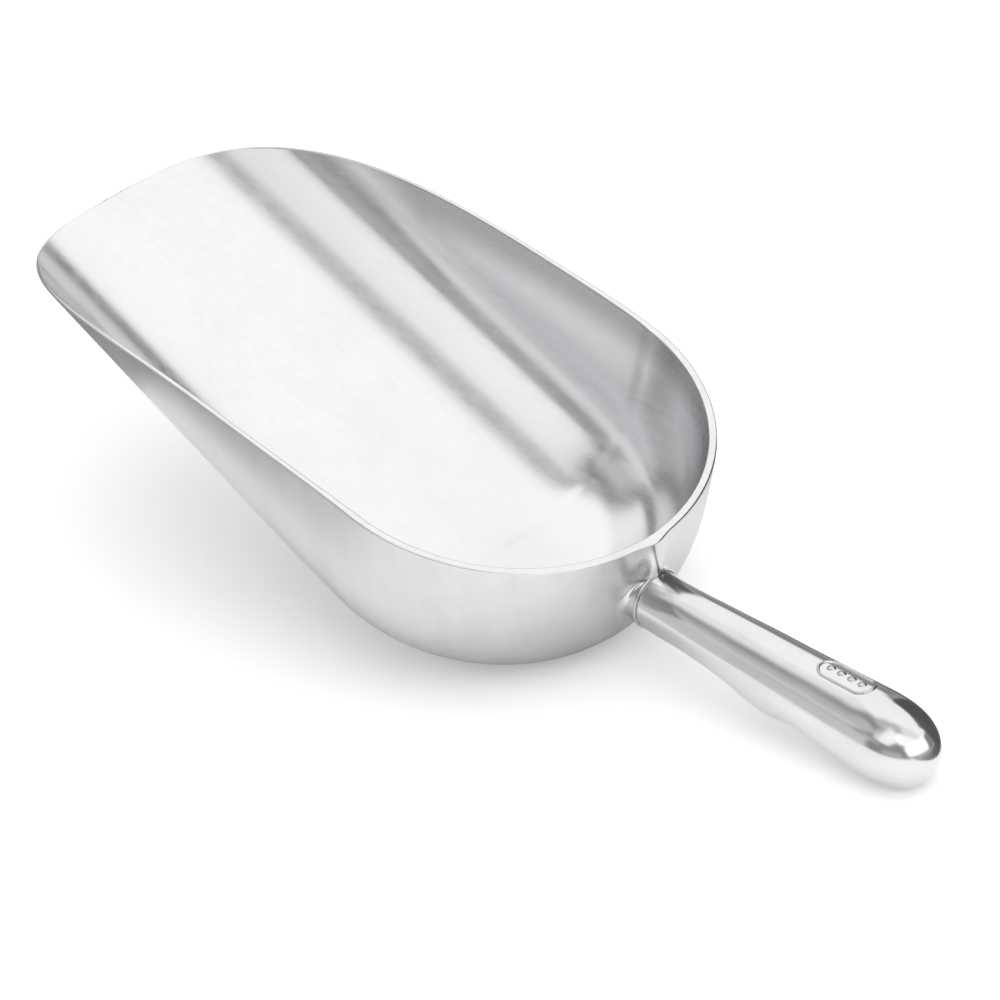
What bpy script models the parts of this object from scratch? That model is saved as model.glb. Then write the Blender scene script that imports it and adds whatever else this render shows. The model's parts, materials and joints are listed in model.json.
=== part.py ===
# Ice scoop: a cast trough with a rounded heel, a solid contoured grip brazed to a boss
# on the heel, and the bead of filler metal that closes the seam between the two.
# Metres, +Z up. The scoop stands as it rests: on its belly and on the tip of the grip.
# +X points along the grip, the mirror plane is y = 0.
import math
import bpy
import bmesh
from mathutils import Matrix, Vector

MM = 0.001

# trough and heel, measured in the frame of the heel's rim plane (z = 0 is that plane)
HALF_WIDTH = 58.5 * MM       # outside, at the heel
DEPTH = 58.5 * MM            # rim plane to the outside of the bottom
SIDE_POWER = 3.16            # superellipse powers of the cross-section
DEPTH_POWER = 3.29
TAPER = 0.047                # loss of half-width per 100 mm towards the lip
TAPER_BLEND = 20 * MM
TROUGH_RISE = math.radians(9.65)
RISE_BLEND = 6 * MM
RIM_SLOPE = 0.110            # fall of the side rim towards the lip
RIM_BLEND = 12.3 * MM
LIP_START = 51.7 * MM        # where the side rim starts its curve down to the lip
LIP_GAIN = 0.000445          # fall in mm: LIP_GAIN * (mm past LIP_START) ** LIP_POWER
LIP_POWER = 2.266
WALL = 2.8 * MM              # at the heel
WALL_LIP = 1.2 * MM          # the trough's wall thins evenly to this at the lip
RIM_ROUND = 0.55 * MM

# grip, along its own axis from the seam; each row: distance, half-width, above, below
GRIP_ROOT = Vector((61.2 * MM, 0.0, -20.3 * MM))
GRIP_TILT = math.radians(10.8)
GRIP_LENGTH = 102.4 * MM
GRIP_ROWS = (
    (0.0, 8.15, 8.1, 8.3),
    (6.0, 8.1, 8.1, 8.9),
    (14.0, 8.35, 8.4, 8.5),
    (24.0, 8.9, 8.9, 8.6),
    (32.0, 9.3, 9.3, 9.7),
    (40.0, 9.7, 9.7, 12.1),
    (48.0, 10.05, 10.0, 13.2),
    (54.0, 10.3, 10.3, 11.7),
    (60.0, 10.6, 10.6, 10.7),
    (67.0, 10.9, 10.9, 11.6),
    (75.0, 11.3, 11.3, 12.4),
    (83.0, 11.6, 11.7, 13.0),
    (90.0, 11.4, 11.4, 12.7),
)
GRIP_END_START = 86.0        # millimetres, where the rounded end begins

SPIGOT_RADIUS = 5.0 * MM
SPIGOT_LENGTH = 16.0 * MM
CLEARANCE = 0.3 * MM
BEAD_THICK = 0.9 * MM
BEAD_PROUD = 0.45 * MM

BOSS_FOOT = 9.3 * MM         # radius of the boss where it leaves the heel
BOSS_FOOT_Z = -21.0 * MM
BOSS_BURIED = 1.2 * MM
RIB_CENTRE = 9.2 * MM        # rounded top of the rib above the grip's root
RIB_RADIUS = 4.8 * MM
RIB_FOOT_Z = -11.0 * MM

MARK_CENTRE = 70.5           # millimetres along the grip
MARK_LENGTH = 20.0
MARK_WIDTH = 8.4
MARK_BEAD = 0.45 * MM
MARK_DOTS = 4

# pose of the heel frame on the floor
PITCH = math.radians(18.4)
FLAT_CUT = 0.9 * MM          # depth of the resting facet dressed on the belly

FRONT_ROWS = 30
HEEL_ROWS = 12
SECTION_STEPS = 13
GRIP_SIDES = 28
BOSS_SIDES = 32


def clear_scene():
    for obj in list(bpy.data.objects):
        bpy.data.objects.remove(obj, do_unlink=True)


def new_collection(name):
    collection = bpy.data.collections.new(name)
    bpy.context.scene.collection.children.link(collection)
    return collection


def metal(name, colour, roughness):
    material = bpy.data.materials.new(name)
    material.use_nodes = True
    shader = material.node_tree.nodes["Principled BSDF"]
    shader.inputs["Base Color"].default_value = colour
    shader.inputs["Metallic"].default_value = 1.0
    shader.inputs["Roughness"].default_value = roughness
    return material


def soft(t, blend):
    """Distance that starts at rest and grows like t."""
    return math.sqrt(t * t + blend * blend) - blend


def half_width(t):
    return HALF_WIDTH * (1.0 - TAPER * soft(t, TAPER_BLEND) / (100 * MM))


def floor_rise(t):
    return math.tan(TROUGH_RISE) * soft(t, RISE_BLEND)


def rim_height(t):
    past = max(0.0, t - LIP_START) / MM
    fall = LIP_GAIN * past ** LIP_POWER * MM
    return -RIM_SLOPE * soft(t, RIM_BLEND) - fall


def lip_distance():
    """Distance from the heel centre to the middle of the lip."""
    low = 0.0
    high = 300 * MM
    for _ in range(60):
        mid = (low + high) / 2
        if rim_height(mid) > floor_rise(mid) - DEPTH:
            low = mid
        else:
            high = mid
    return low


def section_angle(t):
    """Angle on the section at which the rim cuts it; 90 degrees is the bottom."""
    below = (floor_rise(t) - rim_height(t)) / DEPTH
    below = min(1.0, max(0.0, below))
    return math.asin(below ** (DEPTH_POWER / 2))


def section_point(t, angle):
    y = half_width(t) * max(0.0, math.cos(angle)) ** (2 / SIDE_POWER)
    z = floor_rise(t) - DEPTH * math.sin(angle) ** (2 / DEPTH_POWER)
    return Vector((-t, y, z))


def rim_stations(count):
    """Distances whose rim points are evenly spaced round the lip."""
    far = lip_distance()
    fine = 3000
    samples = [far * (1 - (k / fine) ** 3) for k in range(fine + 1)]
    lengths = [0.0]
    last = section_point(samples[0], section_angle(samples[0]))
    for t in samples[1:]:
        point = section_point(t, section_angle(t))
        lengths.append(lengths[-1] + (point - last).length)
        last = point
    stations = []
    k = 0
    for i in range(count):
        goal = lengths[-1] * i / (count - 1)
        while k < fine and lengths[k] < goal:
            k += 1
        stations.append(samples[k])
    stations[-1] = 0.0
    return stations


def skin_rows():
    """Half of the outer skin: rows of points from the rim down to the middle line."""
    far = lip_distance()
    rows = []
    for i, t in enumerate(rim_stations(FRONT_ROWS)):
        start = section_angle(t)
        spine = far * (1 - i / (FRONT_ROWS - 1))
        row = []
        for j in range(SECTION_STEPS + 1):
            s = j / SECTION_STEPS
            angle = start + s * (math.pi / 2 - start)
            here = t + (spine - t) * s
            row.append(section_point(here, angle))
        row[-1].y = 0.0
        rows.append(row)
    for i in range(1, HEEL_ROWS + 1):
        turn = math.pi / 2 * i / HEEL_ROWS
        row = []
        for j in range(SECTION_STEPS + 1):
            angle = math.pi / 2 * j / SECTION_STEPS
            radius = section_point(0.0, angle).y
            z = section_point(0.0, angle).z
            y = radius * math.cos(turn) if i < HEEL_ROWS else 0.0
            row.append(Vector((radius * math.sin(turn), y, z)))
        rows.append(row)
    return rows


def build_skin(collection, material):
    """Loft of the half skin through its unlike sections; mirror and thickness follow."""
    bm = bmesh.new()
    grid = []
    far = lip_distance()
    rows = skin_rows()
    tip = bm.verts.new(rows[0][0])
    pole = bm.verts.new(rows[-1][-1])
    for i, row in enumerate(rows):
        if i == 0:
            grid.append([tip] * len(row))
            continue
        heel = i >= FRONT_ROWS - 1
        verts = [bm.verts.new(point) for point in row[:-1]]
        verts.append(pole if heel else bm.verts.new(row[-1]))
        grid.append(verts)
    for one, two in zip(grid[:-1], grid[1:]):
        for j in range(SECTION_STEPS):
            corners = []
            for vert in (one[j], two[j], two[j + 1], one[j + 1]):
                if vert not in corners:
                    corners.append(vert)
            if len(corners) > 2:
                bm.faces.new(corners)
    bmesh.ops.recalc_face_normals(bm, faces=bm.faces)
    probe = max(bm.faces, key=lambda face: face.calc_center_median().y)
    if probe.normal.y < 0:
        bmesh.ops.reverse_faces(bm, faces=bm.faces)
    skin = mesh_object("bowl", bm, collection, material)
    thickness = skin.vertex_groups.new(name="thickness")
    for vert in skin.data.vertices:
        along = max(0.0, -vert.co.x) / far
        share = 1 - (1 - WALL_LIP / WALL) * along
        thickness.add([vert.index], share, "REPLACE")
    mirror = skin.modifiers.new("Mirror", "MIRROR")
    mirror.use_axis = (False, True, False)
    mirror.use_clip = True
    mirror.merge_threshold = 0.00001
    thick = skin.modifiers.new("Wall", "SOLIDIFY")
    thick.thickness = WALL
    thick.offset = -1.0
    thick.vertex_group = "thickness"
    thick.use_even_offset = True
    thick.use_quality_normals = True
    bevel = skin.modifiers.new("Rounded rim", "BEVEL")
    bevel.width = RIM_ROUND
    bevel.segments = 2
    bevel.limit_method = "ANGLE"
    bevel.angle_limit = math.radians(50)
    return skin


def mesh_object(name, bm, collection, material):
    mesh = bpy.data.meshes.new(name)
    bm.to_mesh(mesh)
    bm.free()
    obj = bpy.data.objects.new(name, mesh)
    obj.data.materials.append(material)
    collection.objects.link(obj)
    return obj


def apply_modifiers(obj):
    depsgraph = bpy.context.evaluated_depsgraph_get()
    mesh = bpy.data.meshes.new_from_object(obj.evaluated_get(depsgraph))
    obj.modifiers.clear()
    old = obj.data
    obj.data = mesh
    bpy.data.meshes.remove(old)
    mesh.name = obj.name


def combine(obj, other, operation):
    """Exact Boolean with an operand that stays in the cutters collection."""
    modifier = obj.modifiers.new(other.name, "BOOLEAN")
    modifier.operation = operation
    modifier.solver = "EXACT"
    modifier.object = other
    apply_modifiers(obj)


def grip_matrix():
    """Grip frame: local +X runs along the grip, origin at the seam."""
    return Matrix.Translation(GRIP_ROOT) @ Matrix.Rotation(-GRIP_TILT, 4, "Y")


def smooth_row(distance):
    """Half-width, above and below of the grip, interpolated between its rows."""
    rows = GRIP_ROWS
    k = 0
    while k < len(rows) - 2 and rows[k + 1][0] < distance:
        k += 1
    before = rows[max(k - 1, 0)]
    left = rows[k]
    right = rows[k + 1]
    after = rows[min(k + 2, len(rows) - 1)]
    span = right[0] - left[0]
    u = min(1.0, max(0.0, (distance - left[0]) / span))
    values = []
    for c in (1, 2, 3):
        slope_l = (right[c] - before[c]) / (right[0] - before[0]) * span
        slope_r = (after[c] - left[c]) / (after[0] - left[0]) * span
        h00 = 2 * u ** 3 - 3 * u ** 2 + 1
        h10 = u ** 3 - 2 * u ** 2 + u
        h01 = -2 * u ** 3 + 3 * u ** 2
        h11 = u ** 3 - u ** 2
        values.append(h00 * left[c] + h10 * slope_l + h01 * right[c] + h11 * slope_r)
    return values


def grip_section(distance):
    """Half-width, above and below at a distance in millimetres, rounded end included."""
    width, above, below = smooth_row(distance)
    length = GRIP_LENGTH / MM
    if distance > GRIP_END_START:
        u = min(1.0, (distance - GRIP_END_START) / (length - GRIP_END_START))
        shrink = math.sqrt(max(0.0, 1 - u ** 2.15))
        width, above, below = width * shrink, above * shrink, below * shrink
    return width * MM, above * MM, below * MM


def grip_point(distance, angle):
    """Point on the grip's skin; angle 0 is +Y, 90 degrees is up."""
    width, above, below = grip_section(distance)
    height = above if math.sin(angle) >= 0 else below
    drop = (smooth_row(GRIP_END_START)[2] - smooth_row(GRIP_END_START)[1]) / 2 * MM
    past = max(0.0, distance - GRIP_END_START) / (GRIP_LENGTH / MM - GRIP_END_START)
    return Vector((distance * MM, width * math.cos(angle), height * math.sin(angle) - drop * past ** 2))


def build_grip(collection, material):
    bm = bmesh.new()
    start = (BEAD_THICK + 2 * CLEARANCE) / MM
    stops = [start + (GRIP_END_START - start) * k / 30 for k in range(31)]
    end = GRIP_LENGTH / MM - GRIP_END_START
    stops += [GRIP_END_START + end * math.sin(math.pi / 2 * k / 9) for k in range(1, 9)]
    rings = []
    for stop in stops:
        ring = []
        for k in range(GRIP_SIDES):
            ring.append(bm.verts.new(grip_point(stop, 2 * math.pi * k / GRIP_SIDES)))
        rings.append(ring)
    for one, two in zip(rings[:-1], rings[1:]):
        for k in range(GRIP_SIDES):
            n = (k + 1) % GRIP_SIDES
            bm.faces.new((one[k], one[n], two[n], two[k]))
    bm.faces.new(rings[0])
    tip = bm.verts.new(grip_point(GRIP_LENGTH / MM, 0.0))
    for k in range(GRIP_SIDES):
        bm.faces.new((rings[-1][k], rings[-1][(k + 1) % GRIP_SIDES], tip))
    bmesh.ops.recalc_face_normals(bm, faces=bm.faces)
    return mesh_object("handle", bm, collection, material)


def build_cylinder(name, radius, x_low, x_high, collection, material):
    """Round bar along the grip's axis, in the grip frame."""
    bm = bmesh.new()
    turn = Matrix.Rotation(math.pi / 2, 4, "Y")
    place = Matrix.Translation(((x_low + x_high) / 2, 0, 0)) @ turn
    bmesh.ops.create_cone(bm, cap_ends=True, segments=BOSS_SIDES, radius1=radius,
                          radius2=radius, depth=x_high - x_low, matrix=place)
    return mesh_object(name, bm, collection, material)


def heel_wall(y, z):
    """Outside of the heel: its distance along X at a height below the rim plane."""
    share = 1 - (abs(z) / DEPTH) ** DEPTH_POWER
    radius = HALF_WIDTH * share ** (1 / SIDE_POWER)
    return math.sqrt(radius * radius - y * y)


def build_boss(collection, material):
    """Boss and rib on the heel: the hull of the seam ring and of an outline in the wall."""
    bm = bmesh.new()
    width, above, below = grip_section(0.0)
    frame = grip_matrix()
    outline = []
    for k in range(BOSS_SIDES):
        angle = 2 * math.pi * k / BOSS_SIDES
        height = above if math.sin(angle) >= 0 else below
        point = Vector((0.0, width * math.cos(angle), height * math.sin(angle)))
        bm.verts.new(frame @ point)
        outline.append((BOSS_FOOT * math.cos(angle), BOSS_FOOT_Z + BOSS_FOOT * math.sin(angle)))
    for k in range(13):
        angle = math.pi * k / 12
        up = RIB_CENTRE + RIB_RADIUS * math.sin(angle)
        bm.verts.new(frame @ Vector((-0.1 * MM, RIB_RADIUS * math.cos(angle), up)))
        foot = RIB_RADIUS + 1.0 * MM
        outline.append((foot * math.cos(angle), RIB_FOOT_Z + foot * math.sin(angle)))
    for y, z in outline:
        bm.verts.new((heel_wall(y, z) - BOSS_BURIED, y, z))
    hull = bmesh.ops.convex_hull(bm, input=bm.verts)
    loose = [v for v in hull["geom_interior"] if isinstance(v, bmesh.types.BMVert)]
    bmesh.ops.delete(bm, geom=loose, context="VERTS")
    return mesh_object("cut_boss", bm, collection, material)


def build_bead(collection, material):
    """Ring of filler metal with a rounded outer edge, lathed about the grip's axis."""
    inner = SPIGOT_RADIUS + CLEARANCE
    outer = 8.2 * MM + BEAD_PROUD
    low = CLEARANCE
    high = CLEARANCE + BEAD_THICK
    mid = (low + high) / 2
    round_ = BEAD_THICK / 2
    profile = [(low, inner), (low, outer - round_)]
    for k in range(1, 6):
        angle = math.pi * k / 6
        profile.append((mid - round_ * math.cos(angle), outer - round_ + round_ * math.sin(angle)))
    profile += [(high, outer - round_), (high, inner)]
    bm = bmesh.new()
    verts = [bm.verts.new((x, r, 0.0)) for x, r in profile]
    edges = [bm.edges.new((verts[k], verts[(k + 1) % len(verts)])) for k in range(len(verts))]
    bmesh.ops.spin(bm, geom=verts + edges, cent=(0, 0, 0), axis=(1, 0, 0),
                   angle=2 * math.pi, steps=BOSS_SIDES, use_merge=True)
    bmesh.ops.remove_doubles(bm, verts=bm.verts, dist=0.00001)
    bmesh.ops.recalc_face_normals(bm, faces=bm.faces)
    return mesh_object("seam_bead", bm, collection, material)


def surface_height(distance, y):
    """Height of the grip's top skin above its axis."""
    width, above, below = grip_section(distance)
    return above * math.sqrt(max(0.0, 1 - (y / width) ** 2))


def build_mark_frame(collection, material):
    """Raised stadium-shaped border of the capacity mark, a bevelled closed curve."""
    radius = MARK_WIDTH / 2
    straight = MARK_LENGTH / 2 - radius
    path = []
    for sign in (1, -1):
        for k in range(9):
            angle = -math.pi / 2 + math.pi * k / 8
            along = sign * (straight + radius * math.cos(angle))
            path.append((along, sign * radius * math.sin(angle)))
    curve = bpy.data.curves.new("mark_path", "CURVE")
    curve.dimensions = "3D"
    curve.bevel_depth = MARK_BEAD
    curve.bevel_resolution = 1
    spline = curve.splines.new("POLY")
    spline.points.add(len(path) - 1)
    spline.use_cyclic_u = True
    for point, (along, side) in zip(spline.points, path):
        distance = MARK_CENTRE + along
        height = surface_height(distance, side * MM)
        point.co = (distance * MM, side * MM, height, 1.0)
    tube = bpy.data.objects.new("mark_path", curve)
    collection.objects.link(tube)
    bpy.context.view_layer.update()
    mesh = bpy.data.meshes.new_from_object(tube)
    bpy.data.objects.remove(tube, do_unlink=True)
    frame = bpy.data.objects.new("cut_mark_frame", mesh)
    mesh.materials.clear()
    mesh.materials.append(material)
    collection.objects.link(frame)
    return frame


def build_mark_dots(collection, material):
    """Row of raised dots inside the border."""
    bm = bmesh.new()
    for k in range(MARK_DOTS):
        distance = MARK_CENTRE + (k - (MARK_DOTS - 1) / 2) * 3.6
        centre = Vector((distance * MM, 0.0, surface_height(distance, 0.0) - 0.7 * MM))
        bmesh.ops.create_uvsphere(bm, u_segments=10, v_segments=6, radius=1.15 * MM,
                                  matrix=Matrix.Translation(centre))
    return mesh_object("cut_mark_dots", bm, collection, material)


def build_floor_box(height, collection, material):
    bm = bmesh.new()
    size = 0.5
    place = Matrix.Translation((0, 0, height - size / 2)) @ Matrix.Diagonal((size, size, size, 1))
    bmesh.ops.create_cube(bm, size=1.0, matrix=place)
    return mesh_object("cut_floor", bm, collection, material)


def bounds(objects):
    points = [v.co for obj in objects for v in obj.data.vertices]
    low = Vector([min(p[k] for p in points) for k in range(3)])
    high = Vector([max(p[k] for p in points) for k in range(3)])
    return low, high


def main():
    clear_scene()
    parts = new_collection("ice_scoop")
    cutters = new_collection("cutters")
    cast = metal("cast_aluminium", (0.80, 0.80, 0.81, 1.0), 0.32)
    polished = metal("polished_aluminium", (0.86, 0.86, 0.87, 1.0), 0.14)
    filler = metal("filler_metal", (0.72, 0.72, 0.73, 1.0), 0.38)

    bowl = build_skin(parts, cast)
    apply_modifiers(bowl)
    grip = build_grip(parts, polished)
    bead = build_bead(parts, filler)
    boss = build_boss(cutters, cast)
    spigot = build_cylinder("cut_spigot", SPIGOT_RADIUS, -1.5 * MM, SPIGOT_LENGTH, cutters, cast)
    socket = build_cylinder("cut_socket", SPIGOT_RADIUS + CLEARANCE, -2.0 * MM,
                            SPIGOT_LENGTH + CLEARANCE, cutters, polished)
    frame = build_mark_frame(cutters, polished)
    dots = build_mark_dots(cutters, polished)
    for obj in (grip, bead, spigot, socket, frame, dots):
        obj.data.transform(grip_matrix())

    everything = (bowl, grip, bead, boss, spigot, socket, frame, dots)
    for obj in everything:
        obj.data.transform(Matrix.Rotation(PITCH, 4, "Y"))
    low_bowl, _ = bounds([bowl])
    low_grip, high_grip = bounds([grip])
    floor = low_bowl.z + FLAT_CUT
    middle = (low_bowl.x + high_grip.x) / 2
    shift = Matrix.Translation((-middle, 0.0, -floor))
    for obj in everything:
        obj.data.transform(shift)

    combine(bowl, boss, "UNION")
    combine(bowl, spigot, "UNION")
    combine(grip, socket, "DIFFERENCE")
    combine(grip, frame, "UNION")
    combine(grip, dots, "UNION")
    ground = build_floor_box(0.0, cutters, cast)
    combine(bowl, ground, "DIFFERENCE")
    if bounds([grip])[0].z < 0:
        combine(grip, ground, "DIFFERENCE")

    for obj in (bowl, grip, bead):
        obj.data.shade_smooth()
        obj.data.set_sharp_from_angle(angle=math.radians(32))
    for obj in cutters.objects:
        obj.hide_render = True
        obj.display_type = "WIRE"


main()
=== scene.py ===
# Ice scoop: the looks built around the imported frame. Metres, +Z up, in the frame's own axes.
import json
import math

import bmesh
import bpy
import numpy as np
from mathutils import Matrix, Vector

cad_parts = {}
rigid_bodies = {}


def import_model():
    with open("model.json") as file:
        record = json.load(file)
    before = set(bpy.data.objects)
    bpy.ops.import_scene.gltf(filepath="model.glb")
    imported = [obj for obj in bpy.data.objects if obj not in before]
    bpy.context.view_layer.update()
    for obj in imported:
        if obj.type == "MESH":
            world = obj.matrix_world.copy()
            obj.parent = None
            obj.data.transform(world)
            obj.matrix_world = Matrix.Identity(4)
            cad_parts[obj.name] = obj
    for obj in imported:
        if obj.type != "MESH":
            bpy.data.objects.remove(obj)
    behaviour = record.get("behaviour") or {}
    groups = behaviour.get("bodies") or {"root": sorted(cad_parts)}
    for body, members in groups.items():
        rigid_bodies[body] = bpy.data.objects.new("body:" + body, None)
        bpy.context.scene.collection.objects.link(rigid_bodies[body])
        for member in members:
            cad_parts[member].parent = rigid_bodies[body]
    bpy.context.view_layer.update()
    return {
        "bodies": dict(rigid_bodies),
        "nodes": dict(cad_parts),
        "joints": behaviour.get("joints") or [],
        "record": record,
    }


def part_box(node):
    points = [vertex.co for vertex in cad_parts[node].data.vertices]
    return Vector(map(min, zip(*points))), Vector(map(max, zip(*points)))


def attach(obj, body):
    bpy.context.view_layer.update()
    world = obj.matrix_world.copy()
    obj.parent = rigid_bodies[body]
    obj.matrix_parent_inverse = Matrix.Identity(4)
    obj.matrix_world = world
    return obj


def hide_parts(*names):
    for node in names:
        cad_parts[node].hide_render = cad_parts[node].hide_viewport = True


MM = 0.001

# The pieces are built in millimetres in the heel's own axes: the heel's rim lies in the plane Z = 0 and its
# half circle is centred on the Z axis. The grip points to +X and the lip to -X.

# bowl, as the CAD has it
HALF_WIDTH = 58.5
DEPTH = 58.5
SIDE_POWER = 3.16            # the section is a superellipse with these two powers
DEPTH_POWER = 3.29
TAPER = 0.00047              # share of the half-width lost per millimetre towards the lip
TAPER_BLEND = 20.0
TROUGH_RISE = math.radians(9.65)
RISE_BLEND = 6.0
RIM_SLOPE = 0.110
RIM_BLEND = 12.3
LIP_START = 51.7             # distance ahead of the heel where the rim starts to curve down
LIP_GAIN = 0.000445
LIP_POWER = 2.266
LIP_FARTHEST = 300.0         # the lip is looked for up to here
PITCH = math.radians(18.4)   # nose-up turn when the scoop rests on belly and grip

# wall of the bowl
WALL = 2.4
WALL_LIP = 1.1
WALL_THINNING = 0.45         # the wall thins with this power of the distance towards the lip
RIM_ROUND = 0.5
RIM_STEPS = 5
RIM_EDGE = math.radians(50)
MIRROR_MERGE = 0.004

# rib up the back of the heel to the rim
RIB_HEIGHT = 2.8
RIB_HEIGHT_RIM = 1.1
RIB_RISE = 10.0              # depth below the rim where the rib reaches its full height
RIB_SPREAD = 3.2             # standard width of the rib at the seam
RIB_SPREAD_RIM = 2.8         # and at the rim
RIB_LENGTH = 14.0            # depth where it has its full width and starts to fade
RIB_FADE = 12.0
RIB_FOOT = -30.0             # no rib below this height
NECK_HALF_WIDTH = 14         # behind the rib the wall's inside is put back on a plain circle
NECK_TOP = -2.0
NECK_REACH = 0.9             # points up to this far outside the circle are moved

# where the bowl's polish changes, and where painted shade darkens the inner wall under the rim
DULL_AND_SHADE_SIDE = 6.0              # the dull zone under the rim, with its painted shade, reaches this much less far down at -Y
DULL_AND_SHADE_LIP_START = 85.0        # from here towards the lip it gets narrower
DULL_AND_SHADE_LIP_LOSS = 0.5          # by this much per millimetre
POLISH_SPREAD = 6.0          # standard width of the polished neck
POLISH_LOW = -45.0           # its lower end, and the length over which it fades in
POLISH_FADE = 20.0

# grip: where its axis meets the seam, its slope, and along the axis: distance, half-width, above, below
GRIP_ROOT = Vector((61.2, 0.0, -20.3))
GRIP_TILT = math.radians(10.8)
GRIP_LENGTH = 102.4
GRIP_ROWS = (
    (0.0, 8.15, 8.1, 8.3),
    (6.0, 8.1, 8.1, 8.9),
    (14.0, 8.35, 8.4, 8.5),
    (24.0, 8.9, 8.9, 8.6),
    (32.0, 9.3, 9.3, 9.7),
    (40.0, 9.7, 9.7, 12.1),
    (48.0, 10.05, 10.0, 13.2),
    (54.0, 10.3, 10.3, 11.7),
    (60.0, 10.6, 10.6, 10.7),
    (67.0, 10.9, 10.9, 11.6),
    (75.0, 11.3, 11.3, 12.4),
    (83.0, 11.6, 11.7, 13.0),
    (90.0, 11.4, 11.4, 12.7),
)
GRIP_END_START = 86.0        # where the rounded tip starts
GRIP_END_POWER = 2.15
GRIP_TURNOVER = 2.2          # how quickly the section changes from above to below
GRIP_SIDES = 96
GRIP_STOPS = 120
GRIP_END_STOPS = 40
GRIP_TIP_STEP = 0.0005       # from the last ring to the closed tip

# seam line round the grip's root, and where the grip's skin starts beyond it
SEAM_GAP = 0.3
SEAM_WIDTH = 0.9
SEAM_RADIUS = 8.2
SEAM_PROUD = 0.45
SEAM_SUNK = 2.4              # how deep the line reaches into the metal
SEAM_STEPS = 96
SEAM_SIDES = 24
GRIP_START = SEAM_WIDTH + 0.35
GRIP_CHAMFER = 0.2
GRIP_CHAMFER_SHARE = 0.985
GRIP_ROOT_SHARE = 0.55

# flare between the heel's wall and the grip's root
FLARE = 3.2                  # its reach at the bottom; the sides have a share of it, and the top less
FLARE_SIDE = 0.72
FLARE_UPPER = 0.28
FLARE_START = 0.4            # where it starts along the grip's axis
FLARE_SINK = 0.02            # how deep its foot lies in the heel's skin
FLARE_PROBE = 0.05           # step that measures the slope of the heel
FLARE_PULL = 0.62            # length of the curve's handles, as a share of the distance between its ends
FLARE_HEM = 0.6              # how far the foot goes on under the skin
FLARE_SIDES = 128
FLARE_STEPS = 20

# raised mark on the grip
MARK_CENTRE = 70.3
MARK_SIDE = 1.1
MARK_LENGTH = 18.0
MARK_WIDTH = 7.2
MARK_BEAD = 0.42
MARK_BEAD_SIDES = 12
MARK_ARC_STEPS = 24
MARK_STRAIGHT_STEPS = 20
MARK_LEAN = 11.0             # radius of the grip that the border leans with
MARK_DOTS = 4
DOT_PITCH = 3.7
DOT_RADIUS = 1.8
DOT_SUNK = 1.25              # depth of a dot's centre below the grip's skin

# density of the bowl's mesh
FRONT_ROWS = 110
HEEL_ROWS = 72
HEEL_CROWDING = 1.25         # above 1 the heel's rows crowd towards the rib
COLUMNS = 76
FINE_STEPS = 600
FINE_STATIONS = 6000
MERGE_DISTANCE = 0.002

# camera: degrees, metres and millimetres of lens
CAMERA_AZIMUTH = 50.40
CAMERA_ELEVATION = 31.70
CAMERA_ROLL = 8.40
CAMERA_TARGET = Vector((-3.52, 0.0, 33.67)) * MM
CAMERA_DISTANCE = 1.85
CAMERA_LENS = 242.66
CAMERA_SENSOR = 36.0
CAMERA_CLIP = (0.05, 50.0)

# light tent
WHITE = (1.0, 1.0, 1.0)
SKY_BASE = 0.30
# name, azimuth from the camera, elevation, azimuth its long side runs along,
# ends of its long side, ends of its short side (tangents), softness of the edge, strength
SOFT_BOXES = (
    ("top_right", 0.0, 90.0, -105.7, -1.8, -0.12, -1.38, 0.12, 0.10, 0.94),
    ("top_mid", 0.0, 90.0, -105.7, -0.12, 0.45, -2.6, 0.08, 0.10, 0.95),
    ("top_left", 0.0, 90.0, -105.7, 0.45, 1.5, -0.55, -0.07, 0.13, 0.82),
    ("top_left_far", 0.0, 90.0, -105.7, 0.45, 1.5, -1.5, -0.55, 0.09, 0.60),
    ("cross_left", 0.0, 90.0, -105.7, 0.45, 0.80, -0.03, 0.10, 0.15, 0.10),
    ("cross_far", 0.0, 90.0, -105.7, 0.80, 1.15, -0.03, 0.16, 0.15, 0.08),
    ("gap_right", 0.0, 90.0, -105.7, -1.5, -0.25, 0.14, 0.42, 0.10, 0.75),
    ("gap_cross", 0.0, 90.0, -105.7, -0.25, 0.50, 0.14, 0.36, 0.08, 0.32),
    ("gap_left", 0.0, 90.0, -105.7, 0.75, 2.60, 0.16, 0.80, 0.14, 0.36),
    ("front_strip", 0.0, 90.0, -66.4, 0.28, 1.78, 0.15, 0.95, 0.12, 0.98),
    ("front_right_high", 0.0, 90.0, -105.7, -1.6, -0.1, 0.45, 1.40, 0.08, 1.00),
    ("left_soft", -88.0, 27.0, -178.0, -0.35, 0.35, -0.06, 0.06, 0.05, 0.15),
    ("left_low", -90.0, 10.0, 180.0, -0.35, 0.35, -0.20, 0.20, 0.08, 0.45),
    ("left_tail", -64.0, 22.0, -154.0, -0.18, 0.18, -0.08, 0.08, 0.06, 0.20),
    ("front_low", -30.0, 8.0, 60.0, -0.35, 0.35, -0.12, 0.12, 0.08, 0.27),
    ("front_right", 40.0, 22.0, 130.0, -0.70, 0.70, -0.26, 0.26, 0.12, 1.40),
    ("back_right_low", 142.0, 13.0, 52.0, -0.27, 0.27, -0.17, 0.17, 0.05, 0.48),
)
FACING = 0.05                # a direction only meets a box that it points towards by this much

# table: a faintly lit white panel
FLOOR_SIZE = 12.0
FLOOR_WHITE = 0.9
FLOOR_ROUGHNESS = 0.9
FLOOR_GLOW = 0.23
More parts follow.
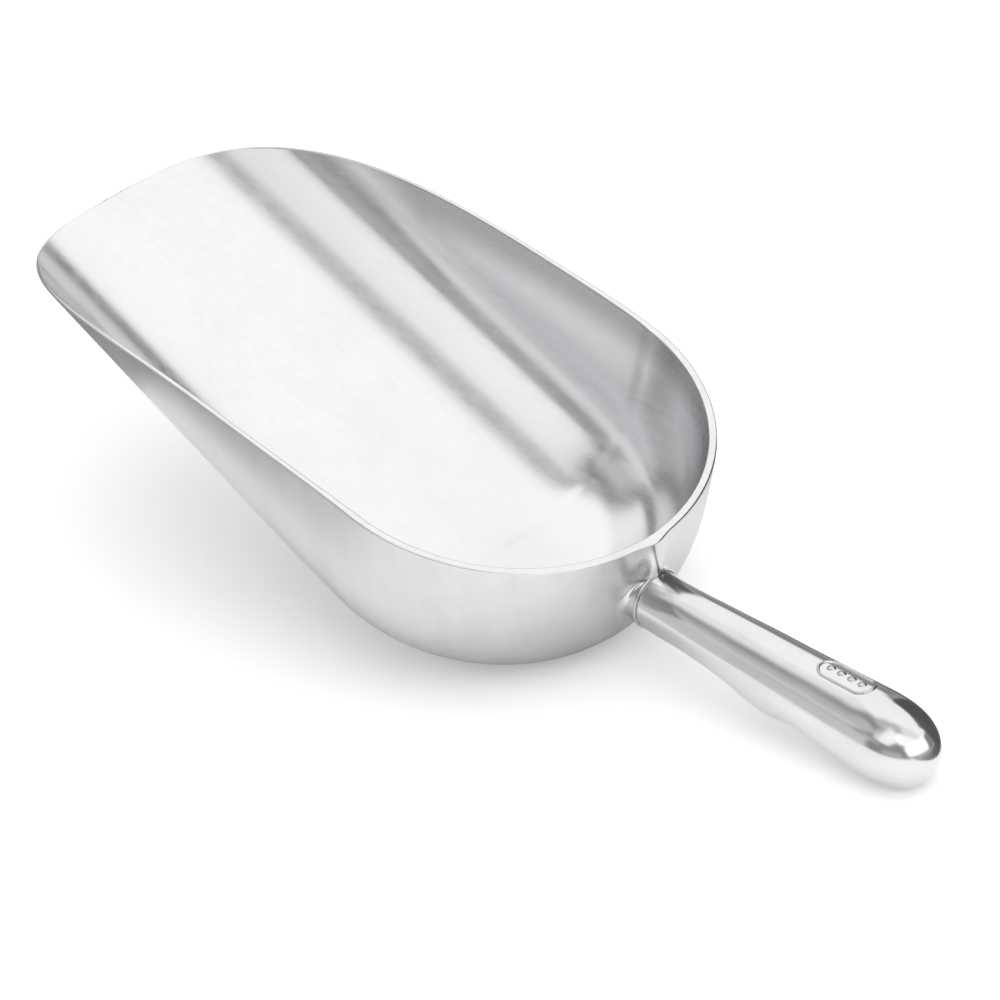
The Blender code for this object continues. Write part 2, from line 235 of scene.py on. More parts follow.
# cards that only reflections see: name, size, place, turn, paint, and where the paint turns to the table's
# white: across the card between two shares of its width, or around its middle between two distances
CARDS = (
    ("card_flat", (1.6, 0.7), (0.216, 0.387, 0.0005), (0.0, 0.0, math.atan(-0.5)), 0.10, None),
    ("card_upright", (0.20, 0.19), (0.15, 0.18, 0.095), (math.radians(90), 0.0, 0.0), 0.10, None),
    # card_left darkens the table that reflections see to the left and front of the scoop.
    ("card_left", (0.80, 0.60), (-0.25, -0.22, 0.0004), (0.0, 0.0, 0.0), 0.30, ("across", 0.55, 0.85)),
    # The card under the scoop is painted shadow: a grey sheet that reflections see in place of the table's
    # contact shadow under the belly.
    ("painted_shadow_card_under", (0.30, 0.20), (-0.02, 0.0, 0.00045), (0.0, 0.0, 0.0), 0.64, ("around", 0.12, 0.38)),
)
# lights that reflections don't see: name, place, size, strength
TABLE_LIGHTS = (
    ("table_top", (0.0, 0.0, 1.6), 1.4, 2.5),
    ("table_right", (0.7, -0.3, 1.4), 1.0, 2.5),
)

# metals
EVEN = (1.0, 1.0, 1.0)       # noise that isn't stretched
LINE_DEPTH = 0.00004         # depth of the polishing lines, metres


# ---- shape of the bowl ----

def soft(t, blend):
    """Distance that starts at rest and grows like t."""
    return np.sqrt(t * t + blend * blend) - blend


def half_width(t):
    return HALF_WIDTH * (1.0 - TAPER * soft(t, TAPER_BLEND))


def floor_rise(t):
    return math.tan(TROUGH_RISE) * soft(t, RISE_BLEND)


def rim_height(t):
    past = np.maximum(0.0, t - LIP_START)
    return -RIM_SLOPE * soft(t, RIM_BLEND) - LIP_GAIN * past ** LIP_POWER


def lip_distance():
    """Distance ahead of the heel at which the rim meets the middle of the trough."""
    low, high = 0.0, LIP_FARTHEST
    for _ in range(60):
        mid = (low + high) / 2
        if rim_height(mid) > floor_rise(mid) - DEPTH:
            low = mid
        else:
            high = mid
    return low


def section_angle(t):
    """Angle on the section at which the rim cuts it; 90 degrees is the bottom."""
    below = np.clip((floor_rise(t) - rim_height(t)) / DEPTH, 0.0, 1.0)
    return np.arcsin(below ** (DEPTH_POWER / 2))


def section_point(t, angle):
    """Point of the outer skin at a distance ahead of the heel and an angle on the section."""
    y = half_width(t) * np.maximum(0.0, np.cos(angle)) ** (2 / SIDE_POWER)
    z = floor_rise(t) - DEPTH * np.sin(angle) ** (2 / DEPTH_POWER)
    return np.stack([-t, y, z], axis=-1)


def path_length(points):
    """Distance along a polyline at each of its points."""
    steps = np.linalg.norm(np.diff(points, axis=0), axis=1)
    return np.concatenate([[0.0], np.cumsum(steps)])


def resample(points, count):
    """The same polyline with count points, evenly spaced along it."""
    length = path_length(points)
    even = np.linspace(0.0, length[-1], count)
    return np.stack([np.interp(even, length, points[:, k]) for k in range(3)], axis=1)


def fine_angles(start):
    """Dense angles from start to the bottom, closer together near both ends."""
    s = (1 - np.cos(np.linspace(0.0, math.pi, FINE_STEPS))) / 2
    return start + s * (math.pi / 2 - start)


def trough_rows():
    """Half of the trough's outer skin: rows from the rim to the middle line, from the lip to the heel."""
    far = lip_distance()
    fine = far * (1 - np.linspace(0.0, 1.0, FINE_STATIONS) ** 3)
    length = path_length(section_point(fine, section_angle(fine)))
    stations = np.interp(np.linspace(0.0, length[-1], FRONT_ROWS), length, fine)
    rows = []
    for i, t in enumerate(stations):
        angles = fine_angles(section_angle(t))
        s = (angles - angles[0]) / max(1e-9, angles[-1] - angles[0])
        spine = far * (1 - i / (FRONT_ROWS - 1))
        row = section_point(t + (spine - t) * s, angles)
        row[-1, 1] = 0.0
        rows.append(resample(row, COLUMNS + 1))
    return rows


def heel_rows():
    """The heel's profile turned by a quarter, from the side to the back."""
    profile = resample(section_point(np.zeros(FINE_STEPS), fine_angles(0.0)), COLUMNS + 1)
    side, down = profile[:, 1], profile[:, 2]
    rows = []
    for i in range(1, HEEL_ROWS + 1):
        turn = math.pi / 2 * (1 - (1 - i / HEEL_ROWS) ** HEEL_CROWDING)
        rows.append(np.stack([side * math.sin(turn), side * math.cos(turn), down], axis=1))
    rows[-1][:, 1] = 0.0
    return rows


def rib(y, z):
    """How far the rib stands out of the heel's wall."""
    along = np.clip(-z / RIB_LENGTH, 0.0, 1.0)
    rise = np.clip(-z / RIB_RISE, 0.0, 1.0)
    height = RIB_HEIGHT_RIM + (RIB_HEIGHT - RIB_HEIGHT_RIM) * rise * rise * (3 - 2 * rise)
    spread = RIB_SPREAD_RIM + (RIB_SPREAD - RIB_SPREAD_RIM) * along ** 1.5
    fade = 1 - np.clip((-z - RIB_LENGTH) / RIB_FADE, 0.0, 1.0) ** 2
    return height * fade * np.exp(-0.5 * (y / spread) ** 2)


def heel_radius(z):
    """Outside radius of the heel without the rib."""
    return HALF_WIDTH * (1 - (np.abs(z) / DEPTH) ** DEPTH_POWER) ** (1 / SIDE_POWER)


def heel_skin(y, z):
    """Outside of the heel with its rib: its distance along X."""
    radius = heel_radius(z)
    return float(np.sqrt(radius * radius - y * y) + rib(y, z))


# ---- meshes ----

def new_piece(name, mesh, materials):
    obj = bpy.data.objects.new(name, mesh)
    bpy.context.scene.collection.objects.link(obj)
    for material in materials:
        mesh.materials.append(material)
    return obj


def finished_mesh(bm, name):
    """The mesh, with its faces turned outwards."""
    bmesh.ops.recalc_face_normals(bm, faces=bm.faces)
    mesh = bpy.data.meshes.new(name)
    bm.to_mesh(mesh)
    bm.free()
    return mesh


def grid_mesh(name, rows, closed=False):
    """Quads through rows of points; points that fall together are merged."""
    rows = np.asarray(rows, dtype=float)
    count, width = rows.shape[:2]
    bm = bmesh.new()
    verts = [[bm.verts.new(p) for p in row] for row in rows]
    last = width if closed else width - 1
    for i in range(count - 1):
        for j in range(last):
            n = (j + 1) % width
            bm.faces.new((verts[i][j], verts[i + 1][j], verts[i + 1][n], verts[i][n]))
    bmesh.ops.remove_doubles(bm, verts=bm.verts, dist=MERGE_DISTANCE)
    return finished_mesh(bm, name)


def apply_modifiers(obj):
    depsgraph = bpy.context.evaluated_depsgraph_get()
    mesh = bpy.data.meshes.new_from_object(obj.evaluated_get(depsgraph))
    obj.modifiers.clear()
    obj.data = mesh


def smooth(obj, degrees):
    """Smooth shading; edges sharper than the angle stay sharp."""
    obj.data.shade_smooth()
    obj.data.set_sharp_from_angle(angle=math.radians(degrees))


def store_at_points(obj, name, value_at):
    """One number at every point, for the materials to read."""
    layer = obj.data.attributes.new(name, "FLOAT", "POINT")
    for vert, item in zip(obj.data.vertices, layer.data):
        item.value = value_at(*vert.co)


# ---- bowl ----

def raise_rib(obj):
    """Stands the rib out of the heel and notes how thick the wall is at every point."""
    far = lip_distance()
    thickness = obj.vertex_groups.new(name="thickness")
    for vert in obj.data.vertices:
        x, y, z = vert.co
        share = 1 - (1 - WALL_LIP / WALL) * (max(0.0, -x) / far) ** WALL_THINNING
        height = 0.0
        if x > 0 and z > RIB_FOOT:
            height = float(rib(y, z))
            reach = math.hypot(x, y)
            vert.co.x += height * x / reach
            vert.co.y += height * y / reach
        thickness.add([vert.index], (share + height / WALL) / 2, "REPLACE")


def give_wall(obj):
    """Mirrors the half skin, gives it its wall and rounds the rim."""
    mirror = obj.modifiers.new("Mirror", "MIRROR")
    mirror.use_axis = (False, True, False)
    mirror.use_clip = True
    mirror.merge_threshold = MIRROR_MERGE
    wall = obj.modifiers.new("Wall", "SOLIDIFY")
    wall.thickness = WALL * 2
    wall.offset = -1.0
    wall.vertex_group = "thickness"
    wall.use_even_offset = True
    wall.use_quality_normals = True
    wall.material_offset = 1
    wall.material_offset_rim = 2
    bevel = obj.modifiers.new("Rounded rim", "BEVEL")
    bevel.width = RIM_ROUND
    bevel.segments = RIM_STEPS
    bevel.limit_method = "ANGLE"
    bevel.angle_limit = RIM_EDGE
    bevel.use_clamp_overlap = False
    apply_modifiers(obj)


def even_neck_wall(obj):
    """Puts the wall's inside back on a plain circle behind the rib."""
    for vert in obj.data.vertices:
        x, y, z = vert.co
        if x <= 0 or abs(y) >= NECK_HALF_WIDTH or not RIB_FOOT < z < NECK_TOP:
            continue
        inside = heel_radius(z) - WALL
        if math.hypot(x, y) < inside + NECK_REACH:
            vert.co.x = math.sqrt(inside * inside - y * y)


def depth_below_rim(x, y, z):
    """Depth below the rim; it counts as deeper at -Y and near the lip, where the dull zone with its painted
    shade is narrower.
    """
    ahead = max(0.0, -x)
    depth = float(rim_height(ahead)) - z + DULL_AND_SHADE_LIP_LOSS * max(0.0, ahead - DULL_AND_SHADE_LIP_START)
    return depth + DULL_AND_SHADE_SIDE if y < 0 else depth


def neck_share(x, y, z):
    """1 on the rib up the back of the heel, less beside it and below it."""
    if x <= 0:
        return 0.0
    height = min(1.0, max(0.0, (z - POLISH_LOW) / POLISH_FADE))
    return math.exp(-0.5 * (y / POLISH_SPREAD) ** 2) * height


def build_bowl(materials):
    """Cast shell; its three materials are for the outside, the inside and the rim."""
    mesh = grid_mesh("bowl_shell", trough_rows() + heel_rows())
    probe = max(mesh.polygons, key=lambda face: face.center.y)
    if probe.normal.y < 0:
        mesh.flip_normals()
    obj = new_piece("bowl_shell", mesh, materials)
    raise_rib(obj)
    give_wall(obj)
    smooth(obj, 60)
    even_neck_wall(obj)
    store_at_points(obj, "below_rim", depth_below_rim)
    store_at_points(obj, "neck", neck_share)
    return obj


# ---- grip ----

def grip_frame():
    """From the grip's own axes, with X along its length, to the heel's."""
    return Matrix.Translation(GRIP_ROOT) @ Matrix.Rotation(-GRIP_TILT, 4, "Y")


def grip_row(distance):
    """Half-width, above and below of the grip, interpolated between its rows."""
    rows = GRIP_ROWS
    k = 0
    while k < len(rows) - 2 and rows[k + 1][0] < distance:
        k += 1
    before, left, right = rows[max(k - 1, 0)], rows[k], rows[k + 1]
    after = rows[min(k + 2, len(rows) - 1)]
    span = right[0] - left[0]
    u = min(1.0, max(0.0, (distance - left[0]) / span))
    values = []
    for c in (1, 2, 3):
        slope_l = (right[c] - before[c]) / (right[0] - before[0]) * span
        slope_r = (after[c] - left[c]) / (after[0] - left[0]) * span
        h00 = 2 * u ** 3 - 3 * u ** 2 + 1
        h10 = u ** 3 - 2 * u ** 2 + u
        h01 = -2 * u ** 3 + 3 * u ** 2
        h11 = u ** 3 - u ** 2
        values.append(h00 * left[c] + h10 * slope_l + h01 * right[c] + h11 * slope_r)
    return values


def end_share(distance):
    """0 up to where the rounded tip starts, 1 at its end."""
    share = (distance - GRIP_END_START) / (GRIP_LENGTH - GRIP_END_START)
    return min(1.0, max(0.0, share))


def grip_section(distance):
    """Half-width, above and below at a distance, rounded tip included."""
    shrink = math.sqrt(max(0.0, 1 - end_share(distance) ** GRIP_END_POWER))
    return [size * shrink for size in grip_row(distance)]


def grip_point(distance, angle):
    """Point on the grip's skin; angle 0 is +Y, 90 degrees is up."""
    width, above, below = grip_section(distance)
    share = (1 + math.tanh(GRIP_TURNOVER * math.sin(angle))) / 2
    height = below + (above - below) * share
    end = grip_row(GRIP_END_START)
    drop = (end[2] - end[1]) / 2
    z = height * math.sin(angle) - drop * end_share(distance) ** 2
    return (distance, width * math.cos(angle), z)


def build_grip(materials):
    """Cast grip: one loft from the seam to the rounded tip."""
    stops = [GRIP_START + GRIP_CHAMFER]
    stops += list(np.linspace(GRIP_START, GRIP_END_START, GRIP_STOPS))[1:]
    for k in range(1, GRIP_END_STOPS):
        reach = math.sin(math.pi / 2 * k / GRIP_END_STOPS)
        stops.append(GRIP_END_START + (GRIP_LENGTH - GRIP_END_START) * reach)
    stops += [GRIP_LENGTH - GRIP_TIP_STEP, GRIP_LENGTH]
    turn = [2 * math.pi * k / GRIP_SIDES for k in range(GRIP_SIDES)]
    root = [grip_point(GRIP_START, angle) for angle in turn]
    rings = []
    for share in (GRIP_ROOT_SHARE, GRIP_CHAMFER_SHARE):
        rings.append([(x, y * share, z * share) for x, y, z in root])
    rings += [[grip_point(stop, angle) for angle in turn] for stop in stops]
    obj = new_piece("grip", grid_mesh("grip", rings, closed=True), materials)
    smooth(obj, 50)
    return obj


# ---- seam line, flare and mark ----

def build_seam(materials):
    """Raised line of filler metal round the root of the grip."""
    half = SEAM_WIDTH / 2
    centre = SEAM_RADIUS + SEAM_PROUD - half
    rings = []
    for k in range(SEAM_STEPS + 1):
        turn = 2 * math.pi * k / SEAM_STEPS
        ring = []
        for j in range(SEAM_SIDES + 1):
            angle = 2 * math.pi * j / SEAM_SIDES
            outward = math.sin(angle)
            radius = centre + (half if outward >= 0 else SEAM_SUNK) * outward
            x = SEAM_GAP + half + half * math.cos(angle)
            ring.append((x, radius * math.cos(turn), radius * math.sin(turn)))
        rings.append(ring)
    obj = new_piece("seam_line", grid_mesh("seam_line", rings), materials)
    smooth(obj, 70)
    return obj


def flare_ring(frame, turn):
    """The flare's curve at one angle round the grip, from the grip's skin to under the heel's."""
    side, up = math.cos(turn), math.sin(turn)
    axis = frame.to_3x3() @ Vector((1, 0, 0))
    start = frame @ Vector((FLARE_START, SEAM_RADIUS * side, SEAM_RADIUS * up))
    reach = FLARE * (FLARE_SIDE - FLARE_UPPER * up)
    y = (SEAM_RADIUS + reach) * side
    z = start.z + reach * up + FLARE_START * axis.z
    foot = Vector((heel_skin(y, z) - FLARE_SINK, y, z))
    y += FLARE_PROBE * side
    z += FLARE_PROBE * up
    slope = (Vector((heel_skin(y, z) - FLARE_SINK, y, z)) - foot).normalized()
    pull = (start - foot).length * FLARE_PULL
    leave = start - axis * pull
    arrive = foot - slope * pull
    ring = []
    for j in range(FLARE_STEPS + 1):
        s = j / FLARE_STEPS
        a, b, c, d = (1 - s) ** 3, 3 * s * (1 - s) ** 2, 3 * s * s * (1 - s), s ** 3
        ring.append(tuple(a * start + b * leave + c * arrive + d * foot))
    ring.append(tuple(foot + slope * FLARE_HEM - axis * FLARE_HEM))
    return ring


def build_flare(materials):
    """Fillet between the heel's wall and the grip's root, tangent to both."""
    frame = grip_frame()
    rings = [flare_ring(frame, 2 * math.pi * k / FLARE_SIDES) for k in range(FLARE_SIDES)]
    rings.append(rings[0])
    obj = new_piece("grip_flare", grid_mesh("grip_flare", rings), materials)
    smooth(obj, 80)
    return obj


def surface_height(distance, y):
    """Height of the grip's top skin above its axis."""
    width, above, _ = grip_section(distance)
    return above * math.sqrt(max(0.0, 1 - (y / width) ** 2))


def mark_path():
    """Closed outline of the mark: two half circles and the two straight sides between them."""
    radius = MARK_WIDTH / 2
    straight = MARK_LENGTH / 2 - radius
    path = []
    for sign in (1, -1):
        for k in range(MARK_ARC_STEPS + 1):
            angle = -math.pi / 2 + math.pi * k / MARK_ARC_STEPS
            along = sign * (straight + radius * math.cos(angle))
            path.append((along, MARK_SIDE + sign * radius * math.sin(angle)))
        for k in range(1, MARK_STRAIGHT_STEPS):
            path.append((sign * straight * (1 - 2 * k / MARK_STRAIGHT_STEPS), MARK_SIDE + sign * radius))
    return path


def mark_border(bm):
    """A bead that follows the mark's outline on the grip's skin."""
    path = mark_path()
    rings = []
    for i, (along, side) in enumerate(path):
        ahead, back = path[(i + 1) % len(path)], path[i - 1]
        run = Vector((ahead[0] - back[0], ahead[1] - back[1], 0.0)).normalized()
        across = Vector((run.y, -run.x, 0.0))
        rise = Vector((0.0, side / MARK_LEAN, 1.0)).normalized()
        middle = Vector((MARK_CENTRE + along, side, surface_height(MARK_CENTRE + along, side)))
        ring = []
        for j in range(MARK_BEAD_SIDES):
            angle = 2 * math.pi * j / MARK_BEAD_SIDES
            out = across * math.cos(angle) + rise * math.sin(angle)
            ring.append(bm.verts.new(middle + MARK_BEAD * out))
        rings.append(ring)
    for i, one in enumerate(rings):
        two = rings[(i + 1) % len(rings)]
        for j in range(MARK_BEAD_SIDES):
            n = (j + 1) % MARK_BEAD_SIDES
            bm.faces.new((one[j], two[j], two[n], one[n]))


def build_mark(materials):
    """Raised stadium border and the row of dots inside it."""
    bm = bmesh.new()
    mark_border(bm)
    for k in range(MARK_DOTS):
        distance = MARK_CENTRE + (k - (MARK_DOTS - 1) / 2) * DOT_PITCH
        centre = Vector((distance, MARK_SIDE, surface_height(distance, MARK_SIDE) - DOT_SUNK))
        bmesh.ops.create_uvsphere(bm, u_segments=32, v_segments=16, radius=DOT_RADIUS,
                                  matrix=Matrix.Translation(centre))
    obj = new_piece("capacity_mark", finished_mesh(bm, "capacity_mark"), materials)
    smooth(obj, 70)
    return obj


# ---- nodes ----

def node_math(tree, operation, first, second=None):
    """Each input is a number or another node's output."""
    node = tree.nodes.new("ShaderNodeMath")
    node.operation = operation
    for socket, value in zip(node.inputs, (first, second)):
        if value is None:
            continue
        if hasattr(value, "is_output"):
            tree.links.new(value, socket)
        else:
            socket.default_value = value
    return node.outputs[0]


def node_vector(tree, operation, vector, other):
    """One number worked out from a vector and a fixed one."""
    node = tree.nodes.new("ShaderNodeVectorMath")
    node.operation = operation
    tree.links.new(vector, node.inputs[0])
    node.inputs[1].default_value = other
    return node.outputs["Value"]


def node_range(tree, value, from_low, from_high, to_low, to_high):
    """A smooth step from one value to another."""
    node = tree.nodes.new("ShaderNodeMapRange")
    node.interpolation_type = "SMOOTHSTEP"
    tree.links.new(value, node.inputs["Value"])
    ends = (("From Min", from_low), ("From Max", from_high), ("To Min", to_low), ("To Max", to_high))
    for name, number in ends:
        node.inputs[name].default_value = number
    return node.outputs["Result"]


def node_edge(tree, value, half, soft_edge):
    """1 while |value| is inside half, 0 outside, smooth between."""
    size = node_math(tree, "ABSOLUTE", value)
    return node_range(tree, size, half - soft_edge, half + soft_edge, 1.0, 0.0)


def node_noise(tree, vector, stretch, scale, detail=4.0, roughness=0.55):
    """Noise in the piece's own coordinates (metres), stretched along each axis."""
    mapping = tree.nodes.new("ShaderNodeMapping")
    mapping.inputs["Scale"].default_value = stretch
    tree.links.new(vector, mapping.inputs["Vector"])
    noise = tree.nodes.new("ShaderNodeTexNoise")
    noise.inputs["Scale"].default_value = scale
    noise.inputs["Detail"].default_value = detail
    noise.inputs["Roughness"].default_value = roughness
    tree.links.new(mapping.outputs["Vector"], noise.inputs["Vector"])
    return noise.outputs[0]


def node_bump(tree, height, distance, strength, after=None):
    """Bumps with a depth in metres, on top of earlier ones if there are any."""
    node = tree.nodes.new("ShaderNodeBump")
    node.inputs["Distance"].default_value = distance
    node.inputs["Strength"].default_value = strength
    tree.links.new(height, node.inputs["Height"])
    if after is not None:
        tree.links.new(after, node.inputs["Normal"])
    return node.outputs["Normal"]


def node_grey(tree, value, tint):
    """A neutral or nearly neutral colour from one brightness value."""
    node = tree.nodes.new("ShaderNodeCombineColor")
    for socket, share in zip(node.inputs, tint):
        tree.links.new(node_math(tree, "MULTIPLY", value, share), socket)
    return node.outputs["Color"]


def node_stored(tree, name):
    """The number stored at the piece's points under this name."""
    node = tree.nodes.new("ShaderNodeAttribute")
    node.attribute_name = name
    return node.outputs["Fac"]


# ---- metals ----

def metal(name, grey, roughness, streak, tint=(0.995, 1.0, 1.01), streaks=0.03, rough_streaks=0.06,
          grain=0.0, grain_scale=900.0, waves=0.0, wave_scale=40.0, wave_stretch=EVEN,
          bump=0.5, blotch=0.03, dull_and_shade_rim=None, polished_neck=0.0):
    """Cast aluminium: polishing streaks, cloudy patches, fine grain and slow waves left by the wheel."""
    material = bpy.data.materials.new(name)
    material.use_nodes = True
    tree = material.node_tree
    shader = tree.nodes["Principled BSDF"]
    shader.inputs["Metallic"].default_value = 1.0
    place = tree.nodes.new("ShaderNodeTexCoord").outputs["Object"]
    lines = node_noise(tree, place, streak, 1.0, 5.0, 0.65)
    cloud = node_noise(tree, place, EVEN, 55.0, 3.0)
    shift = node_range(tree, lines, 0.3, 0.7, -streaks, streaks)
    patch = node_range(tree, cloud, 0.3, 0.7, -blotch, blotch)
    level = node_math(tree, "ADD", node_math(tree, "ADD", shift, patch), grey)
    gloss = node_range(tree, lines, 0.3, 0.7, roughness - rough_streaks / 2, roughness + rough_streaks / 2)
    gloss = node_math(tree, "ADD", gloss, node_math(tree, "MULTIPLY", patch, 0.8))
    # Under the rim the colour is darkened, a painted dark reflection, and the metal is rougher there.
    if dull_and_shade_rim is not None:
        near, far, darker, rougher = dull_and_shade_rim
        share = node_range(tree, node_stored(tree, "below_rim"), near, far, 1.0, 0.0)
        level = node_math(tree, "SUBTRACT", level, node_math(tree, "MULTIPLY", share, darker))
        gloss = node_math(tree, "ADD", gloss, node_math(tree, "MULTIPLY", share, rougher))
    if polished_neck:
        share = node_stored(tree, "neck")
        gloss = node_math(tree, "SUBTRACT", gloss, node_math(tree, "MULTIPLY", share, polished_neck))
    tree.links.new(node_grey(tree, level, tint), shader.inputs["Base Color"])
    tree.links.new(gloss, shader.inputs["Roughness"])
    normal = node_bump(tree, lines, LINE_DEPTH, bump)
    if waves:
        slow = node_noise(tree, place, wave_stretch, wave_scale, 1.0, 0.4)
        normal = node_bump(tree, slow, waves, 1.0, normal)
    if grain:
        fine = node_noise(tree, place, EVEN, grain_scale, 2.0)
        normal = node_bump(tree, fine, grain, 1.0, normal)
    tree.links.new(normal, shader.inputs["Normal"])
    return material


def build_metals():
    """Outside, inside and rim of the bowl; grip and flare; mark; seam line."""
    satin = metal("satin_cast", 0.65, 0.33, (160.0, 160.0, 14.0), streaks=0.02, rough_streaks=0.06,
                  grain=0.00002, grain_scale=1400.0, waves=0.00005, wave_scale=35.0, blotch=0.02,
                  polished_neck=0.10)
    # The inside's zone under the rim: 0.26 darker, a painted dark reflection, and 0.07 rougher.
    inner = metal("trough_polish", 0.75, 0.19, (9.0, 420.0, 420.0), streaks=0.015, rough_streaks=0.06,
                  bump=0.15, waves=0.000008, wave_scale=28.0, wave_stretch=(0.35, 1.0, 1.0), blotch=0.012,
                  dull_and_shade_rim=(3.0, 15.0, 0.26, 0.07))
    bright = metal("rim_ground", 0.72, 0.20, (60.0, 60.0, 700.0), streaks=0.03, rough_streaks=0.08,
                   blotch=0.02)
    polished = metal("grip_polish", 0.69, 0.15, (25.0, 260.0, 260.0), streaks=0.015, rough_streaks=0.05,
                     bump=0.2, waves=0.0004, wave_scale=40.0, wave_stretch=(0.7, 1.0, 1.0), blotch=0.02)
    figure = metal("mark_cast", 0.60, 0.22, (300.0, 300.0, 300.0), streaks=0.03, rough_streaks=0.08,
                   grain=0.00003, grain_scale=2500.0)
    filler = metal("filler_bead", 0.50, 0.24, (500.0, 500.0, 500.0), streaks=0.05, rough_streaks=0.1,
                   waves=0.0001, wave_scale=400.0)
    return satin, inner, bright, polished, figure, filler


# ---- studio ----

def studio_direction(azimuth, elevation):
    """Unit vector; azimuth is counted from the camera's side, positive to its right."""
    turn = math.radians(CAMERA_AZIMUTH + azimuth)
    lift = math.radians(elevation)
    return Vector((math.sin(turn) * math.cos(lift), -math.cos(turn) * math.cos(lift), math.sin(lift)))


def soft_box(tree, vector, azimuth, elevation, along, low_u, high_u, low_v, high_v, edge):
    """1 where the vector meets the rectangle, fading to 0 at its soft edges."""
    centre = studio_direction(azimuth, elevation)
    run = studio_direction(along, 0.0)
    run = (run - centre * run.dot(centre)).normalized()
    across = centre.cross(run)
    depth = node_vector(tree, "DOT_PRODUCT", vector, centre)
    mask = node_math(tree, "GREATER_THAN", depth, FACING)
    depth = node_math(tree, "MAXIMUM", depth, FACING)
    for axis, low, high in ((run, low_u, high_u), (across, low_v, high_v)):
        offset = node_math(tree, "DIVIDE", node_vector(tree, "DOT_PRODUCT", vector, axis), depth)
        offset = node_math(tree, "SUBTRACT", offset, (low + high) / 2)
        mask = node_math(tree, "MULTIPLY", mask, node_edge(tree, offset, (high - low) / 2, edge))
    return mask


def build_studio():
    """Soft boxes of a light tent, as smooth-edged rectangles of the world's sky."""
    world = bpy.data.worlds.new("studio")
    world.use_nodes = True
    tree = world.node_tree
    sky = tree.nodes["Background"]
    sky.inputs["Color"].default_value = (*WHITE, 1.0)
    vector = tree.nodes.new("ShaderNodeTexCoord").outputs["Generated"]
    total = SKY_BASE
    for name, *shape, strength in SOFT_BOXES:
        lit = node_math(tree, "MULTIPLY", soft_box(tree, vector, *shape), strength)
        lit.node.label = name
        total = node_math(tree, "ADD", total, lit)
    tree.links.new(total, sky.inputs["Strength"])
    world.cycles.sampling_method = "NONE"
    bpy.context.scene.world = world


def build_floor():
    bpy.ops.mesh.primitive_plane_add(size=FLOOR_SIZE)
    floor = bpy.context.object
    floor.name = "floor"
    paint = bpy.data.materials.new("floor_white")
    paint.use_nodes = True
    shader = paint.node_tree.nodes["Principled BSDF"]
    shader.inputs["Base Color"].default_value = (FLOOR_WHITE, FLOOR_WHITE, FLOOR_WHITE, 1)
    shader.inputs["Roughness"].default_value = FLOOR_ROUGHNESS
    shader.inputs["Emission Color"].default_value = (*WHITE, 1)
    shader.inputs["Emission Strength"].default_value = FLOOR_GLOW
    floor.data.materials.append(paint)
    return floor


def card_paint(name, grey, fade):
    """Plain grey, which turns to the lit white of the table where the card fades."""
    paint = bpy.data.materials.new(name)
    paint.use_nodes = True
    tree = paint.node_tree
    shader = tree.nodes["Principled BSDF"]
    shader.inputs["Base Color"].default_value = (grey, grey, grey, 1)
    if fade is None:
        return paint
    kind, start, end = fade
    spread = tree.nodes.new("ShaderNodeTexCoord").outputs["Generated"]
    if kind == "across":
        reach = node_vector(tree, "DOT_PRODUCT", spread, (1.0, 0.0, 0.0))
    else:
        reach = node_vector(tree, "DISTANCE", spread, (0.5, 0.5, 0.5))
    share = node_range(tree, reach, start, end, 0.0, 1.0)
    tone = node_math(tree, "ADD", node_math(tree, "MULTIPLY", share, FLOOR_WHITE - grey), grey)
    tree.links.new(node_grey(tree, tone, WHITE), shader.inputs["Base Color"])
    shader.inputs["Emission Color"].default_value = (*WHITE, 1)
    tree.links.new(node_math(tree, "MULTIPLY", share, FLOOR_GLOW), shader.inputs["Emission Strength"])
    return paint


def build_card(name, size, place, turn, grey, fade):
    """A card seen in the metal's reflections only: the two dark ones are flags of the tent, card_left
    darkens the table to the left, and the one under the scoop is painted shadow of the table where the
    scoop rests.
    """
    paint = card_paint(name, grey, fade)
    bpy.ops.mesh.primitive_plane_add(size=1.0)
    card = bpy.context.object
    card.name = name
    card.visible_camera = False
    card.visible_diffuse = False
    card.visible_shadow = False
    card.scale = (size[0], size[1], 1.0)
    card.location = place
    card.rotation_euler = turn
    card.data.materials.append(paint)
    return card


def build_table():
    """The white panel under the scoop, and the cards that lie and stand on it."""
    floor = build_floor()
    for row in CARDS:
        build_card(*row)


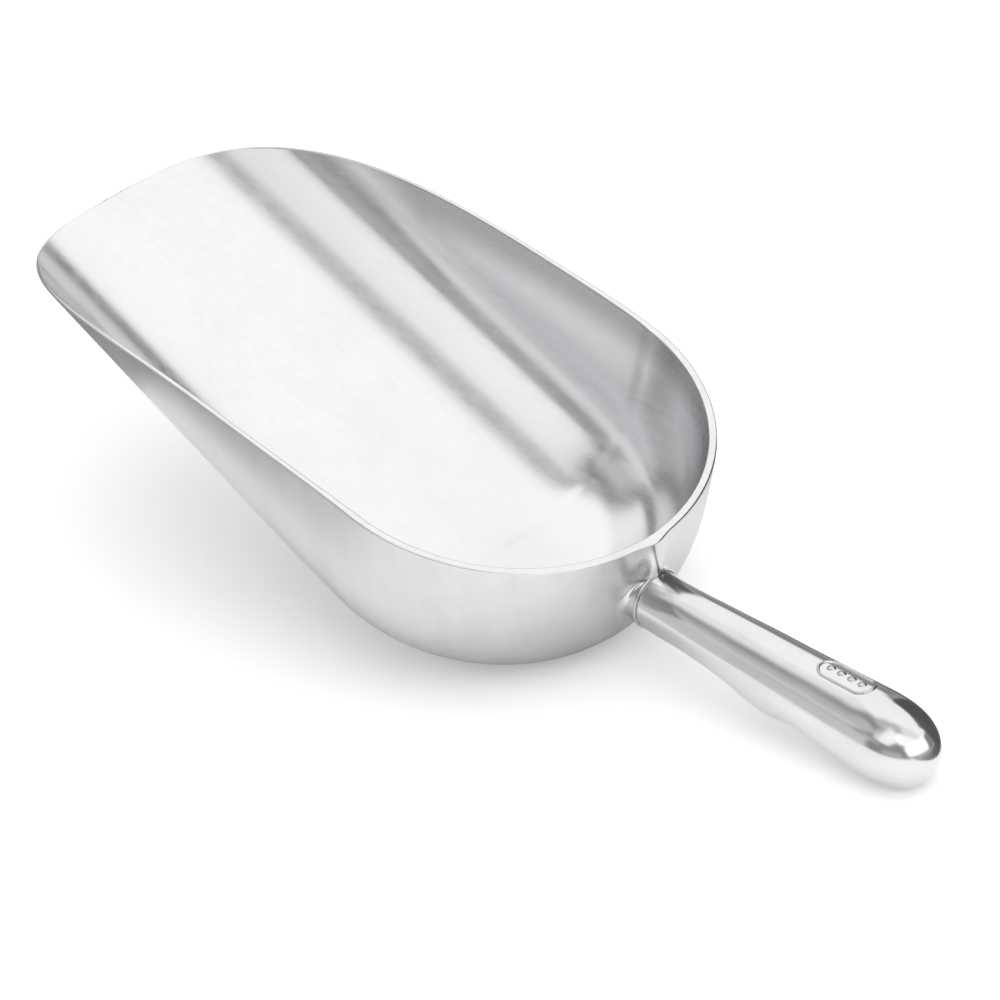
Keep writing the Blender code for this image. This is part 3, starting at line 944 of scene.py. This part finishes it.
def build_table_lights():
    """Lights that shade the table and leave no highlight on the metal."""
    for name, place, size, strength in TABLE_LIGHTS:
        lamp = bpy.data.lights.new(name, "AREA")
        lamp.shape = "DISK"
        lamp.size = size
        lamp.energy = strength
        obj = bpy.data.objects.new(name, lamp)
        obj.location = place
        obj.rotation_euler = obj.location.to_track_quat("Z", "Y").to_euler()
        obj.visible_glossy = False
        bpy.context.scene.collection.objects.link(obj)


def build_camera():
    """Three-quarter view from above the grip, with a slight roll."""
    back = studio_direction(0.0, CAMERA_ELEVATION)
    camera = bpy.data.cameras.new("camera")
    camera.sensor_width = CAMERA_SENSOR
    camera.lens = CAMERA_LENS
    camera.clip_start, camera.clip_end = CAMERA_CLIP
    obj = bpy.data.objects.new("camera", camera)
    turn = back.to_track_quat("Z", "Y").to_matrix().to_4x4()
    roll = Matrix.Rotation(-math.radians(CAMERA_ROLL), 4, "Z")
    obj.matrix_world = Matrix.Translation(CAMERA_TARGET + back * CAMERA_DISTANCE) @ turn @ roll
    bpy.context.scene.collection.objects.link(obj)
    bpy.context.scene.camera = obj


# ---- scene ----

def rest_on_frame(pieces, bowl):
    """Turns the pieces from the heel's axes to the frame's and sets them where the CAD's bowl is."""
    for obj in pieces:
        obj.data.transform(Matrix.Scale(MM, 4) @ Matrix.Rotation(PITCH, 4, "Y"))
    low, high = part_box("bowl")
    own = np.array([v.co for v in bowl.data.vertices])
    shift = Matrix.Translation((low.x - own[:, 0].min(), 0.0, high.z - own[:, 2].max()))
    for obj in pieces:
        obj.data.transform(shift)
        for vert in obj.data.vertices:
            vert.co.z = max(0.0, vert.co.z)


def build_scoop():
    """All pieces of the scoop, attached to the root body, with the CAD's bowl, handle and seam bead hidden.
    """
    satin, inner, bright, polished, figure, filler = build_metals()
    bowl = build_bowl([satin, inner, bright])
    flare = build_flare([polished])
    grip = build_grip([polished])
    seam = build_seam([filler])
    mark = build_mark([figure])
    for obj in (grip, seam, mark):
        obj.data.transform(grip_frame())
    pieces = (bowl, flare, grip, seam, mark)
    rest_on_frame(pieces, bowl)
    for obj in pieces:
        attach(obj, "root")
    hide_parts("bowl")
    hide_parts("handle")
    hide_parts("seam_bead")


def main():
    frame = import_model()
    build_scoop()
    build_table()
    build_table_lights()
    build_studio()
    bpy.context.scene.view_settings.view_transform = "Standard"
    build_camera()


main()
